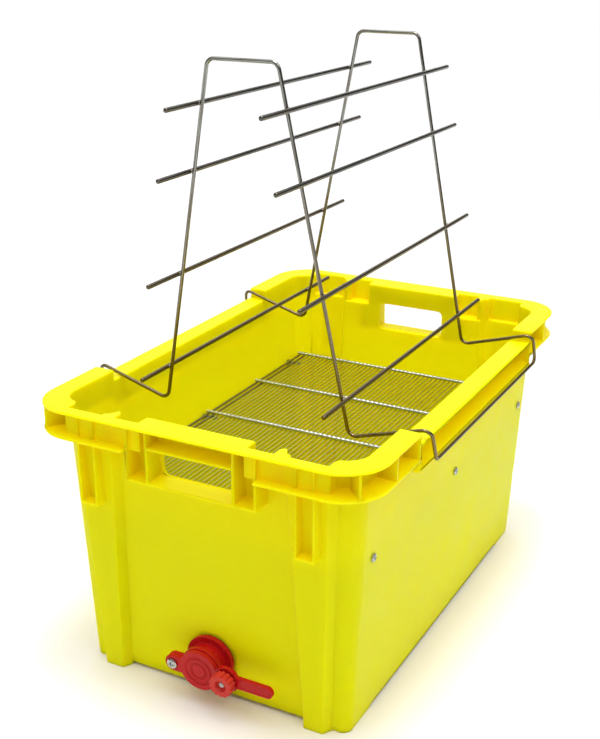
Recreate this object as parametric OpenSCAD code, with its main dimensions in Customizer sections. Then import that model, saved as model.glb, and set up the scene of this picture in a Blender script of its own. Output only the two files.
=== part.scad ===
// Uncapping tub: a stack-and-nest crate with a wire strainer inside, a drain gate
// low on its front end and a lift-off wire stand that holds comb frames upright.
// Millimetres. X is the width, -Y the front end with the gate, Z up from the feet.

/* [Tub] */
// Length of the rim, front to back
rim_l = 600; // [560:5:640]
// Width of the rim
rim_w = 400; // [370:5:430]
// Height from the feet to the raised corners of the rim
tub_h = 320; // [300:2:340]
// Outer radius of the rim's corners
rim_r = 49; // [44:1:56]
// Rim standing out past the long walls
side_overhang = 21.5; // [18:0.5:25]
// Rim standing out past the end walls
end_overhang = 28.5; // [27:0.5:31]
// Lean of all four walls, in degrees
draft = 2.85; // [2:0.05:3.2]
// Thickness of the walls
wall = 3; // [2:0.25:4]
// Thickness of the floor
floor_t = 3; // [2:0.25:5]

/* [Rim] */
// Thickness of the rim's flanges and ribs
lip = 3; // [2:0.25:4]
// Height of the rim's channel, over both flanges
channel_h = 31.5; // [28:0.5:36]
// How far the long sides lie below the raised corners
drop = 12; // [8:1:16]
// Length of each raised corner along the long side
corner_run = 126; // [110:2:140]
// Width of the slanted outer edge of the lowered long sides
rim_chamfer = 2.5; // [2:0.25:3]
// Distance of the middle corner rib from the end of the rim
corner_rib = 70; // [60:2:90]
// Distance of the pocket's inner face from the end of the rim
pocket_in = 15; // [13:0.5:18]
// Distance of the pocket's inner end from the middle
pocket_x0 = 64; // [58:1:70]
// Distance of the pocket's outer end from the middle
pocket_x1 = 152; // [146:1:156]
// Distance of the round post in the pocket from the middle
post_x = 101; // [92:1:108]
// Radius of the round post
post_r = 8; // [5:0.5:10]

/* [Columns and feet] */
// Where the column's face starts at its foot, from the middle
column_x0 = 116; // [112:1:120]
// Where the column's face ends at its foot, from the middle
column_x1 = 138; // [132:1:140]
// Width of the slopes beside the column's face
column_slope = 6; // [4:0.5:8]
// Lean of the column's sides towards its foot, in degrees
column_taper = 2.3; // [1:0.1:2.5]
// How far a column stands proud of the end wall
column_t = 11; // [8:0.5:12]
// Width of a stacking pad on a column
pad_w = 22.5; // [18:0.5:26]
// Distance of the pad's inner edge from the middle
pad_x = 117.5; // [115:0.5:122]
// Height of the pad's underside above the ground
pad_z = 214; // [190:2:240]
// Distance of the pad's face behind the end of the rim
pad_back = 9; // [7:0.5:11]
// Height of the feet
foot_h = 5; // [3:0.5:8]
// Length of a corner's foot along the long side
foot_run = 55; // [40:1:70]
// How far a corner's foot lies inside the walls
foot_inset = 0.5; // [0.25:0.25:1]

/* [Handles] */
// Half the width of the box round a handle
handle_x = 77; // [72:1:84]
// Half the width of the middle of the box
handle_mid_x = 52.5; // [50:0.5:56]
// Distance of the box's face behind the end of the rim
handle_back = 7; // [5:0.5:10]
// Height of the box below the rim's top
handle_h = 65; // [58:1:74]
// Half the width of the hand hole
hole_x = 46; // [40:1:48]
// Height of the hand hole
hole_h = 36; // [30:1:36]
// Distance from the rim's top down to the hand hole
hole_top = 25; // [20:1:28]
// Corner radius of the hand hole
hole_r = 6; // [3:0.5:10]

/* [Strainer] */
// Diameter of the strainer's wires
mesh_d = 2; // [1.6:0.1:2.6]
// Distance from one wire to the next
mesh_pitch = 6.2; // [5.5:0.1:7]
// Diameter of the rods along the long edges
edge_d = 3; // [2.5:0.25:3.5]
// Gap between the outer edge rods and the long walls
strainer_side_gap = 5; // [3:0.5:8]
// Gap between the ends of the wires and the end walls
strainer_end_gap = 9.5; // [6:0.5:14]
// Distance between the two edge rods on a side
edge_gap = 7.5; // [5:0.5:8]
// Diameter of the cross bars
bar_d = 4.5; // [3.5:0.25:5.5]
// Length of a wire past the last cross bar
mesh_over = 6; // [4:0.5:8]
// Height of the support screws where they pass the long walls
screw_z = 199; // [180:1:210]
// Distance from the inside of the end walls to the outer support screws
screw_in = 36.5; // [34:0.5:60]
// Diameter of a support screw
screw_d = 5; // [4:0.5:6]
// Length of a support screw under its head
screw_l = 24; // [22:1:28]
// Diameter of a support screw's head
screw_head_d = 9.5; // [8:0.5:12]
// Height of a support screw's head
screw_head_h = 3; // [2:0.25:4]
// Width across the flats of the nuts on the 5 mm screws
nut_af = 8; // [7:0.5:10]
// Thickness of those nuts
nut_t = 4; // [3:0.25:5]

/* [Stand] */
// Diameter of the stand's wire
wire_d = 4; // [3:0.25:4.5]
// Diameter of the comb rods
rod_d = 5; // [3:0.25:6]
// Distance from the middle to the back arch of the stand
arch_y = 168; // [150:1:170]
// Distance from the middle to the top of the front arch
front_arch_y = 175; // [150:1:185]
// Height of the arch above the lowered rim
arch_h = 361; // [300:5:400]
// Half the width of the arch at its top
arch_top_x = 39.2; // [30:0.5:50]
// Half the width of the arch at its foot
arch_foot_x = 112.5; // [100:0.5:125]
// Depth of the arch's foot below the lowered rim
arch_foot_dip = 16; // [8:1:24]
// Radius of the bends at the top and foot of the arch and over the right rim, along the wire's middle
arch_bend_r = 9; // [6:0.5:14]
// Distance that the front arch's feet and hooks are set in from its top
front_foot_set = 15; // [0:1:20]
// Distance that the bar on the right is set back from the hooks
bar_set = 17; // [0:1:20]
// Radius of the bends of the left tails and of the bar on the right, along the wire's middle
hook_bend_r = 6; // [4:0.5:6]
// Gap between the hooks and the outside of the rim
hook_gap = 1.6; // [1.6:0.1:3]
// Length of the stand's bar below the lowered rim, on the right
side_bar_dip = 29; // [22:1:36]
// Length of the hook's tail below the lowered rim, on the left
hook_dip = 7; // [4:0.5:12]
// Height of the lowest rod pair above the lowered rim
rod_1_h = 24.5; // [20:0.5:40]
// Height of the second rod pair above the lowered rim
rod_2_h = 134.5; // [100:0.5:160]
// Height of the third rod pair above the lowered rim
rod_3_h = 247; // [200:0.5:270]
// Depth of the highest rod pair below the arch's top
rod_4_drop = 44; // [20:0.5:45]
// Length of the highest comb rods
rod_l = 464; // [400:4:520]
// Length that the lowest rod pair falls short at the front
rod_1_short = 19; // [0:1:30]
// Length that the second rod pair falls short at the front
rod_2_short = 8; // [0:1:30]
// Length that the third rod pair falls short at the front
rod_3_short = 2; // [0:1:30]

/* [Gate] */
// Height of the gate's axis above the ground, at the wall
gate_z = 47; // [46:0.5:60]
// Radius of the gate's passage
gate_bore_r = 18; // [15:0.5:20]
// Radius of the threaded spout through the wall
spout_r = 21.5; // [20.5:0.25:23]
// Length of the spout inside the tub
spout_in = 14; // [12:1:20]
// Radius of the flange against the wall
gate_flange_r = 28.5; // [27:0.5:32]
// Thickness of the flange
gate_flange_t = 5; // [3:0.5:7]
// Thickness of the rubber gasket behind the flange
gasket_t = 2; // [1:0.25:3]
// Distance from the wall to the gate's seat
seat_w = 24; // [22:0.5:28]
// Radius of the seat plate
seat_r = 24.5; // [24:0.25:26]
// Thickness of the seat plate and its ears
seat_t = 5; // [4:0.5:6]
// Distance of the pivot from the gate's axis
pivot_u = 33; // [32:0.5:36]
// Distance of the clamp bolt from the gate's axis
clamp_u = 34; // [33:0.5:38]
// Radius of the ears round the pivot and the clamp bolt
ear_r = 9.5; // [8:0.5:10]
// Radius of the blade's disc
blade_r = 23.5; // [22.5:0.25:24]
// Thickness of the blade
blade_t = 5; // [4:0.25:6]
// Radius of the blade's shoulder round the clamp bolt
shoulder_r = 15; // [14:0.5:17]
// Distance from the gate's axis to the tip of the handle
handle_tip_u = 90; // [80:1:105]
// Width of the blade's handle
handle_bar_w = 14; // [10:0.5:18]
// Width of the raised border on the blade's handle
border = 2; // [1.5:0.25:3]
// Depth of the hollow inside the border
border_h = 1.2; // [0.8:0.1:1.6]
// Radius of the inner groove on the blade's disc
groove_1_r = 8; // [6:0.5:10]
// Radius of the outer groove on the blade's disc
groove_2_r = 14.5; // [13:0.5:16]
// Depth of the grooves on the disc
groove_h = 0.6; // [0.4:0.1:1]
// Swing over which the blade's slot clears the clamp bolt, in degrees
slot_sweep = 30; // [25:1:40]
// Thickness of the seal under the blade, as a ring's section
seal_t = 1.6; // [1.2:0.1:2]
// Diameter of the pivot screw
pivot_d = 5; // [4:0.5:6]
// Diameter of the pivot screw's head
pivot_head_d = 12; // [9:0.5:13]
// Diameter of the clamp bolt
clamp_d = 6; // [5:0.5:7]
// Width across the flats of the clamp bolt's head
clamp_af = 10; // [9:0.5:12]
// Thickness of the clamp washer
washer_t = 1.5; // [1:0.25:2]
// Radius of the clamp washer
washer_r = 9; // [8:0.5:10]
// Radius of the knob
knob_r = 13.5; // [11:0.5:14]
// Height of the knob
knob_h = 10; // [8:0.5:16]
// Number of flutes round the knob
knob_flutes = 14; // [10:1:16]
// Radius of a flute
flute_r = 1.5; // [1:0.1:1.8]
// Radius of the hollow in the knob's face
knob_hollow_r = 6.5; // [5.5:0.25:8]
// Depth of that hollow
knob_hollow_h = 4; // [3:0.5:5]
// Thickness of the gate's octagonal lock nut
lock_nut_t = 9; // [6:0.5:11]
// Distance across the flats of the lock nut
lock_nut_af = 58; // [54:1:62]

/* [Fits] */
// Gap between pieces that move past each other
run_gap = 0.3; // [0.2:0.05:0.5]
// Gap round the clamp bolt in the blade's slot
slot_gap = 1; // [0.5:0.1:1.5]
// Gap between pieces that are welded or clamped face to face
seat_gap = 0.02; // [0.01:0.01:0.05]
// Radial swelling of the wire where it is bent
bend_swell = 0.01; // [0.01:0.01:0.03]
// Radial gap of a shaft in its hole
shaft_gap = 0.05; // [0.02:0.01:0.1]

/* [Hidden] */
$fn = 64;
far = 1000;
lap = 1;
lean = tan(draft);
low_z = tub_h - drop;
floor_z = foot_h + floor_t;
side_run = rim_l - 2 * corner_run;
end_y = rim_l / 2;
corner_x = rim_w / 2 - rim_r;
corner_y = end_y - end_overhang - rim_w / 2 + side_overhang + corner_x;
wall_normal = wall * cos(draft);

// Half width and half length of the tub's outside at a height
function half_w(z) = rim_w / 2 - side_overhang - (tub_h - z) * lean;
function half_l(z) = end_y - end_overhang - (tub_h - z) * lean;

// The strainer lies on the support screws: the inner edge rod rests on their shanks
edge_x = half_w(screw_z) - wall - strainer_side_gap - edge_d / 2;
edge_z = screw_z + (half_w(screw_z) - edge_x + edge_gap) * lean
  + ((screw_d + edge_d) / 2 + run_gap) / cos(draft);
mesh_z = edge_z + (edge_d - mesh_d) / 2;
bar_z = edge_z + (edge_d + bar_d) / 2 + seat_gap;
screw_pitch = half_l(screw_z) - wall - screw_in;
mesh_l = 2 * (half_l(screw_z) - wall - strainer_end_gap);
mesh_side = floor((edge_x - edge_gap - (edge_d + mesh_d) / 2) / mesh_pitch);
bar_count = 5;
bar_run = mesh_l - 2 * mesh_over;
bar_pitch = bar_run / (bar_count - 1);

// The stand's wire: the corners of its middle line, in each arch's own frame
wire_out_x = rim_w / 2 + wire_d / 2 + hook_gap;
arch_foot_z = low_z - arch_foot_dip;
arch_top_z = low_z + arch_h;
side_bar_z = low_z - side_bar_dip;
rod_heights = [rod_1_h, rod_2_h, rod_3_h, arch_h - rod_4_drop];
rod_shorts = [rod_1_short, rod_2_short, rod_3_short, 0];
leg_dir = unit([arch_foot_x - arch_top_x, 0, arch_foot_z - arch_top_z]);
leg_out = [-leg_dir.z, 0, leg_dir.x];

// From the foot the wire rises straight, just clear of the inner edge of the lowered rim
edge_run = [half_w(low_z) - wall - arch_foot_x, arch_foot_dip];
rise_angle = atan2(edge_run.y, edge_run.x) + asin((wire_d / 2 + run_gap) / norm(edge_run));
hook_top_z = arch_foot_z + (wire_out_x - arch_foot_x) * tan(rise_angle);

// Outside the right rim it drops to the bar, which is welded on above its bends
bar_drop = [0, bar_set, side_bar_z - hook_top_z];
drop_dir = unit(bar_drop);
weld_rise = 2 * hook_bend_r;
function hook_corners(foot_set) = [
  [-wire_out_x, foot_set, low_z - hook_dip],
  [-wire_out_x, foot_set, hook_top_z],
  [-arch_foot_x, foot_set, arch_foot_z],
  [-arch_top_x, 0, arch_top_z],
  [arch_top_x, 0, arch_top_z],
  [arch_foot_x, foot_set, arch_foot_z],
  [wire_out_x, foot_set, hook_top_z],
  [wire_out_x, foot_set, hook_top_z] + drop_dir * (norm(bar_drop) - weld_rise - seat_gap)
];
hook_radii = [0, hook_bend_r, arch_bend_r, arch_bend_r, arch_bend_r, arch_bend_r, arch_bend_r, 0];
bar_front = [wire_out_x, front_foot_set - front_arch_y, hook_top_z] + bar_drop;
bar_back = [wire_out_x, arch_y, hook_top_z] + bar_drop;

// Layers of the gate, from the wall outward
blade_w = seat_w + run_gap;
blade_face_w = blade_w + blade_t;
washer_w = blade_face_w + run_gap;
knob_w = washer_w + washer_t + run_gap;
knob_hollow_w = knob_w + knob_h - knob_hollow_h;
bolt_end_w = knob_hollow_w + knob_hollow_h / 2;
clamp_reach = pivot_u + clamp_u;
slot_r = clamp_d / 2 + slot_gap;
seal_r = (gate_bore_r + blade_r) / 2;

function unit(v) = v / norm(v);

// Copies on both ends or both sides of the tub
module both_ends() {
  children();
  mirror([0, 1, 0]) children();
}
module both_sides() {
  children();
  mirror([1, 0, 0]) children();
}

// Frame on the front wall's outside at a height: x to the right, z straight out
module on_front(z) {
  translate([0, -half_l(z), z]) rotate([90 + draft, 0, 0]) children();
}

// Frame on the right wall's outside at a height: z straight out
module on_right(y, z) {
  translate([half_w(z), y, z]) rotate([0, 90 + draft, 0]) children();
}

// Upright block from its low corner to its high corner
module block(low, high) {
  translate(low) cube(high - low);
}

// Leaning tub shape with round corners, moved in by an inset
module tub_shape(inset, z0, z1) {
  w0 = half_w(z0) - inset;
  w1 = half_w(z1) - inset;
  l0 = half_l(z0) - inset;
  l1 = half_l(z1) - inset;
  translate([0, corner_y, 0]) rotate([90, 0, 0]) linear_extrude(2 * corner_y)
    polygon([[-w0, z0], [w0, z0], [w1, z1], [-w1, z1]]);
  translate([-corner_x, 0, 0]) rotate([90, 0, 90]) linear_extrude(2 * corner_x)
    polygon([[-l0, z0], [l0, z0], [l1, z1], [-l1, z1]]);
  both_ends() both_sides() translate([corner_x, corner_y, z0])
    cylinder(h = z1 - z0, r1 = w0 - corner_x, r2 = w1 - corner_x);
}

// One flange of the rim: a plate with round corners
module rim_plate(z) {
  translate([0, 0, z]) linear_extrude(lip) {
    square([rim_w - 2 * rim_r, rim_l], center = true);
    square([rim_w, rim_l - 2 * rim_r], center = true);
    both_ends() both_sides() translate([rim_w / 2 - rim_r, end_y - rim_r]) circle(rim_r);
  }
}

// Two flanges that make a channel, with its top at a height
module channel(top) {
  rim_plate(top - lip);
  rim_plate(top - channel_h);
}

// The space over the lowered long sides
module side_space(z0, z1) {
  block([-far, -side_run / 2, z0], [far, side_run / 2, z1]);
}

// Rim: raised at the ends and corners, lowered along the sides, with upright ribs
module rim() {
  difference() {
    channel(tub_h);
    side_space(0, far);
    both_ends() block([-handle_x, half_l(0), 0], [handle_x, far, tub_h - lip]);
  }
  intersection() {
    channel(low_z);
    side_space(0, far);
  }
  rib_top = tub_h - lip / 2;
  rib_x = half_w(tub_h - channel_h) - wall / 2;
  both_ends() both_sides() {
    block([rib_x, side_run / 2, low_z - channel_h], [rim_w / 2 - lap, side_run / 2 + lip, rib_top]);
    block([rib_x, end_y - corner_rib, tub_h - channel_h],
      [rim_w / 2 - lap, end_y - corner_rib + lip, rib_top]);
    translate([corner_x, end_y - rim_r, tub_h - channel_h]) rotate(45)
      block([rim_r / 2, -lip / 2, 0], [rim_r - lap, lip / 2, channel_h - lip / 2]);
  }
}

// Outside of the shallow pockets beside the handles
module pocket_walls() {
  both_ends() both_sides()
    block([pocket_x0 - wall, half_l(tub_h) - wall, tub_h - channel_h],
      [pocket_x1 + wall, end_y - pocket_in + wall, tub_h - lap]);
}

// Inside of the pockets, with a round post left standing in each
module pocket_spaces() {
  pocket_y = end_y - pocket_in;
  both_ends() both_sides() difference() {
    block([pocket_x0, corner_y, tub_h - channel_h + lip], [pocket_x1, pocket_y, tub_h + lap]);
    translate([post_x, pocket_y - post_r, 0]) cylinder(h = far, r = post_r);
    block([post_x - post_r, pocket_y - post_r, 0], [post_x + post_r, pocket_y + lap, far]);
  }
}

// Slab on the front wall whose sloping side leans to the left going up; it starts below the foot
module column_side(x) {
  front = -column_t - lap;
  back = 2 * wall;
  function slope_x(y) = -column_slope * (1 + y / column_t);
  translate([x, 0, 0]) rotate([0, -column_taper, 0]) translate([0, 0, -column_t]) linear_extrude(2 * tub_h)
    polygon([[slope_x(front), front], [column_x1, front], [column_x1, back], [slope_x(back), back]]);
}

// Columns beside the corners from a height up, moved in by an inset: a face between two sloping sides
module columns(z, inset, back) {
  both_ends() both_sides() translate([0, -half_l(z), z]) rotate([draft, 0, 0]) intersection() {
    column_side(column_x0 + inset);
    mirror([1, 0, 0]) column_side(inset - column_x1);
    block([0, inset - column_t, 0], [rim_w / 2, back, 2 * tub_h]);
  }
}

// Stacking pads: two ribs and a floor on each column
module pads() {
  face_y = end_y - pad_back;
  back_y = half_l(pad_z);
  top_z = tub_h - lip / 2;
  both_ends() both_sides() {
    block([pad_x, back_y, pad_z], [pad_x + pad_w, face_y, pad_z + lip]);
    block([pad_x, back_y, pad_z], [pad_x + lip, face_y, top_z]);
    block([pad_x + pad_w - lip, back_y, pad_z], [pad_x + pad_w, face_y, top_z]);
  }
}

// Feet under the corners, beside the columns
module feet() {
  intersection() {
    tub_shape(foot_inset, 0, foot_h + lap);
    both_ends() both_sides() block([pad_x, half_l(foot_h) - foot_run, 0], [far, far, far]);
  }
}

// Slanted outer edges of the lowered rim, under the stand's hooks
module rim_chamfers() {
  both_sides() translate([rim_w / 2, side_run / 2, low_z]) rotate([90, 0, 0]) linear_extrude(side_run)
    polygon([[-rim_chamfer, 0], [0, -rim_chamfer], [lap, -rim_chamfer], [lap, lap], [-rim_chamfer, lap]]);
}

// Box round each hand hole: a sloping floor, four ribs and a lip over the hole
module handle_boxes() {
  face_y = end_y - handle_back;
  floor_low = tub_h - handle_h;
  back_y = half_l(floor_low) - wall / 2;
  hole_low = tub_h - hole_top - hole_h;
  top_z = tub_h - lip / 2;
  both_ends() {
    block([-handle_x, back_y, floor_low], [handle_x, face_y, floor_low + lip]);
    translate([-handle_mid_x, 0, 0]) rotate([90, 0, 90]) linear_extrude(2 * handle_mid_x)
      polygon([[back_y, floor_low], [face_y, floor_low], [face_y, floor_low + lip], [back_y, hole_low]]);
    block([-handle_mid_x, back_y, tub_h - hole_top], [handle_mid_x, face_y, tub_h - hole_top + lip]);
    both_sides() {
      block([handle_x - lip, back_y, floor_low], [handle_x, face_y, top_z]);
      block([handle_mid_x - lip, back_y, floor_low], [handle_mid_x, face_y, top_z]);
    }
  }
}

// Hand holes through both end walls
module hand_holes() {
  low = tub_h - hole_top - hole_h;
  depth = wall + 2 * lap;
  both_ends() translate([0, half_l(low) - wall - lap, low + hole_h / 2]) rotate([-90, 0, 0])
    linear_extrude(depth + hole_h * lean) {
      square([2 * hole_x - 2 * hole_r, hole_h], center = true);
      square([2 * hole_x, hole_h - 2 * hole_r], center = true);
      both_ends() both_sides() translate([hole_x - hole_r, hole_h / 2 - hole_r]) circle(hole_r);
    }
}

// Places of the support screws, on both long walls
module at_screws() {
  both_sides() for (step = [-1 : 1]) on_right(step * screw_pitch, screw_z) children();
}

// The moulded tub
module tub() {
  color("gold") difference() {
    union() {
      tub_shape(0, foot_h, tub_h);
      columns(-lap, 0, lap);
      rim();
      pocket_walls();
      pads();
      feet();
      handle_boxes();
    }
    tub_shape(wall, floor_z, tub_h + lap);
    columns(floor_z, wall, wall + lap);
    pocket_spaces();
    hand_holes();
    side_space(low_z, far);
    rim_chamfers();
    block([-far, -far, tub_h], [far, far, far]);
    block([-far, -far, -far], [far, far, 0]);
    on_front(gate_z) translate([0, 0, -2 * wall]) cylinder(h = 4 * wall, r = spout_r + run_gap);
    at_screws() translate([0, 0, -2 * wall]) cylinder(h = 4 * wall, r = screw_d / 2 + shaft_gap);
  }
}

// Hexagon nut with a round hole
module hex_nut(flats, t, hole_r) {
  difference() {
    cylinder(h = t, r = flats / 2 / cos(30), $fn = 6);
    translate([0, 0, -lap]) cylinder(h = t + 2 * lap, r = hole_r);
  }
}

// Pan-head screw with a cross recess; its head sits on z = 0 and its shank runs down
module pan_screw(d, l, head_d, head_h) {
  slot = d / 5;
  difference() {
    union() {
      translate([0, 0, -l]) cylinder(h = l, r = d / 2);
      cylinder(h = head_h / 2, r = head_d / 2);
      translate([0, 0, head_h / 2]) cylinder(h = head_h / 2, r1 = head_d / 2, r2 = head_d / 3);
    }
    for (turn = [0, 90]) rotate(turn)
      block([-head_d / 4, -slot / 2, head_h / 2], [head_d / 4, slot / 2, head_h + lap]);
  }
}

// Six screws that carry the strainer, and their nuts inside the walls
module support_screws() {
  color("silver") at_screws() translate([0, 0, seat_gap])
    pan_screw(screw_d, screw_l, screw_head_d, screw_head_h);
}
module support_nuts() {
  color("silver") at_screws() translate([0, 0, -wall_normal - seat_gap - nut_t])
    hex_nut(nut_af, nut_t, screw_d / 2 + seat_gap);
}

// Round rod along Y, with its middle at a point
module y_rod(x, z, d, l) {
  translate([x, l / 2, z]) rotate([90, 0, 0]) cylinder(h = l, r = d / 2);
}

// Strainer: long wires, two rods along each long edge and bars across on top
module strainer_wires() {
  color("darkgray") for (place = [-mesh_side : mesh_side])
    y_rod(place * mesh_pitch, mesh_z, mesh_d, mesh_l);
}
module edge_rod(x) {
  color("dimgray") y_rod(x, edge_z, edge_d, mesh_l);
}
module cross_bar(place) {
  half = edge_x + edge_d / 2;
  color("silver") translate([-half, (place - 1) * bar_pitch - bar_run / 2, bar_z])
    rotate([0, 90, 0]) cylinder(h = 2 * half, r = bar_d / 2);
}

// Rigid frame from three square directions and an origin
module frame(e1, e2, e3, at) {
  multmatrix([
    [e1.x, e2.x, e3.x, at.x],
    [e1.y, e2.y, e3.y, at.y],
    [e1.z, e2.z, e3.z, at.z],
    [0, 0, 0, 1]
  ]) children();
}

// Turn of the wire at corner b, and the length that its bend takes from each side
function turn(a, b, c) = acos(-unit(a - b) * unit(c - b));
function bend_run(corners, radii, i) = radii[i] == 0 ? 0
  : radii[i] * tan(turn(corners[i - 1], corners[i], corners[i + 1]) / 2);

// Length of a straight run's end inside the bend, short enough to stay under its swelling
function bend_lap(radius) = sqrt(radius * bend_swell);

// Round wire along its corners: straight runs joined by round bends
module bent_wire(corners, radii, d) {
  last = len(corners) - 1;
  for (i = [0 : last - 1]) {
    ahead = unit(corners[i + 1] - corners[i]);
    side = unit(cross([1, 1, 1], ahead));
    start = corners[i] + ahead * (bend_run(corners, radii, i) - bend_lap(radii[i]));
    run = norm(corners[i + 1] - start) - bend_run(corners, radii, i + 1) + bend_lap(radii[i + 1]);
    frame(side, cross(ahead, side), ahead, start) cylinder(h = run, r = d / 2);
  }
  for (i = [1 : last - 1]) {
    back = unit(corners[i - 1] - corners[i]);
    ahead = unit(corners[i + 1] - corners[i]);
    angle = turn(corners[i - 1], corners[i], corners[i + 1]);
    middle = corners[i] + unit(back + ahead) * radii[i] / cos(angle / 2);
    out = unit(corners[i] + back * bend_run(corners, radii, i) - middle);
    frame(out, -back, cross(back, out), middle)
      rotate_extrude(angle = angle) translate([radii[i], 0]) circle(d / 2 + bend_swell);
  }
}

// Stand: two arches with hooks, and the bar that joins them on the right
module stand_arch_front() {
  color("dimgray") translate([0, -front_arch_y, 0]) bent_wire(hook_corners(front_foot_set), hook_radii, wire_d);
}
module stand_arch_back() {
  color("dimgray") translate([0, arch_y, 0]) bent_wire(hook_corners(0), hook_radii, wire_d);
}
module stand_side_bar() {
  up = -drop_dir * weld_rise;
  corners = [bar_front + up, bar_front, bar_back, bar_back + up];
  color("dimgray") bent_wire(corners, [0, hook_bend_r, hook_bend_r, 0], wire_d);
}

// Comb rod on the outer face of the legs, on the right or the left
module comb_rod(side, place) {
  z = low_z + rod_heights[place - 1];
  leg_x = arch_foot_x - (z - arch_foot_z) * (arch_foot_x - arch_top_x) / (arch_top_z - arch_foot_z);
  out = ((wire_d + rod_d) / 2 + seat_gap) / leg_out.x;
  short = rod_shorts[place - 1];
  color("dimgray") translate([0, short / 2, 0]) y_rod(side * (leg_x + out), z, rod_d, rod_l - short);
}

// Seat plate outline of the gate: a disc with an ear at each side
module seat_outline() {
  circle(seat_r);
  translate([-pivot_u, 0]) circle(ear_r);
  translate([clamp_u, 0]) circle(ear_r);
  translate([-pivot_u, -ear_r]) square([pivot_u + clamp_u, 2 * ear_r]);
}

// Flat ring between two radii
module ring(w0, w1, inner_r, outer_r) {
  translate([0, 0, w0]) difference() {
    cylinder(h = w1 - w0, r = outer_r);
    translate([0, 0, -lap]) cylinder(h = w1 - w0 + 2 * lap, r = inner_r);
  }
}

// Gate body: spout through the wall, flange, barrel and seat plate with two ears
module gate_body() {
  spout_end = wall_normal + spout_in;
  color("firebrick") on_front(gate_z) difference() {
    union() {
      translate([0, 0, -spout_end]) cylinder(h = spout_end + seat_w, r = spout_r);
      translate([0, 0, gasket_t + seat_gap]) cylinder(h = gate_flange_t, r = gate_flange_r);
      translate([0, 0, seat_w - seat_t]) linear_extrude(seat_t) seat_outline();
    }
    translate([0, 0, -spout_end - lap]) cylinder(h = far, r = gate_bore_r);
    translate([-pivot_u, 0, 0]) cylinder(h = far, r = pivot_d / 2 + seat_gap);
    translate([clamp_u, 0, 0]) cylinder(h = far, r = clamp_d / 2 + seat_gap);
    ring(seat_w - seal_t, seat_w + lap, seal_r - seal_t / 2 - seat_gap, seal_r + seal_t / 2 + seat_gap);
  }
}
module gate_gasket() {
  color("dimgray") on_front(gate_z)
    ring(seat_gap, gasket_t, spout_r + shaft_gap, gate_flange_r - lap);
}
module gate_lock_nut() {
  color("firebrick") on_front(gate_z) translate([0, 0, -wall_normal - seat_gap - lock_nut_t]) difference() {
    rotate(22.5) cylinder(h = lock_nut_t, r = lock_nut_af / 2 / cos(22.5), $fn = 8);
    translate([0, 0, -lap]) cylinder(h = lock_nut_t + 2 * lap, r = spout_r + shaft_gap);
  }
}
module gate_seal() {
  color("dimgray") on_front(gate_z)
    ring(seat_w - seal_t + seat_gap, seat_w + run_gap / 2, seal_r - seal_t / 2, seal_r + seal_t / 2);
}

// Outline of the blade: ear, disc, shoulder and handle in one plate
module blade_outline() {
  circle(blade_r);
  translate([-pivot_u, 0]) circle(ear_r);
  translate([-pivot_u, -ear_r]) square([pivot_u, 2 * ear_r]);
  translate([clamp_u, 0]) circle(shoulder_r);
  translate([clamp_u, -handle_bar_w / 2])
    square([handle_tip_u - clamp_u - handle_bar_w / 2, handle_bar_w]);
  translate([handle_tip_u - handle_bar_w / 2, 0]) circle(handle_bar_w / 2);
}

// Blade that swings up about the pivot; a slot lets it leave the clamp bolt
module gate_blade() {
  inner_w = handle_bar_w - 2 * border;
  hollow_u = clamp_u + shoulder_r + border;
  hollow_end = handle_tip_u - handle_bar_w / 2;
  color("firebrick") on_front(gate_z) translate([0, 0, blade_w]) difference() {
    linear_extrude(blade_t) blade_outline();
    translate([-pivot_u, 0, -lap]) cylinder(h = blade_t + 2 * lap, r = pivot_d / 2 + shaft_gap);
    translate([clamp_u, 0, -lap]) cylinder(h = blade_t + 2 * lap, r = slot_r);
    translate([-pivot_u, 0, -lap]) rotate(-slot_sweep) rotate_extrude(angle = slot_sweep)
      translate([clamp_reach - slot_r, 0]) square([2 * slot_r, blade_t + 2 * lap]);
    translate([hollow_u, -inner_w / 2, blade_t - border_h])
      cube([hollow_end - hollow_u, inner_w, border_h + lap]);
    translate([hollow_end, 0, blade_t - border_h]) cylinder(h = border_h + lap, r = inner_w / 2);
    for (groove_r = [groove_1_r, groove_2_r])
      ring(blade_t - groove_h, blade_t + lap, groove_r, groove_r + border);
  }
}

// Pivot of the blade and its nut behind the ear
module pivot_screw() {
  color("silver") on_front(gate_z) translate([-pivot_u, 0, blade_face_w + run_gap])
    pan_screw(pivot_d, blade_face_w + run_gap - seat_w + seat_t + nut_t + lap, pivot_head_d, screw_head_h);
}
module pivot_nut() {
  color("silver") on_front(gate_z) translate([-pivot_u, 0, seat_w - seat_t - seat_gap - nut_t])
    hex_nut(nut_af, nut_t, pivot_d / 2 + seat_gap);
}

// Clamp: a bolt through the right ear, a washer and a fluted knob
module clamp_bolt() {
  color("silver") on_front(gate_z) translate([clamp_u, 0, seat_w - seat_t - seat_gap]) {
    cylinder(h = bolt_end_w - seat_w + seat_t + seat_gap, r = clamp_d / 2);
    translate([0, 0, -nut_t]) cylinder(h = nut_t, r = clamp_af / 2 / cos(30), $fn = 6);
  }
}
module clamp_washer() {
  color("silver") on_front(gate_z) translate([clamp_u, 0, 0])
    ring(washer_w, washer_w + washer_t, clamp_d / 2 + shaft_gap, washer_r);
}
module clamp_knob() {
  color("tomato") on_front(gate_z) translate([clamp_u, 0, knob_w]) difference() {
    cylinder(h = knob_h, r = knob_r);
    translate([0, 0, -lap]) cylinder(h = knob_h, r = clamp_d / 2 + shaft_gap);
    translate([0, 0, knob_h - knob_hollow_h]) cylinder(h = knob_hollow_h + lap, r = knob_hollow_r);
    for (flute = [1 : knob_flutes]) rotate(flute * 360 / knob_flutes)
      translate([knob_r, 0, -lap]) cylinder(h = knob_h + 2 * lap, r = flute_r);
  }
}

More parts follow.
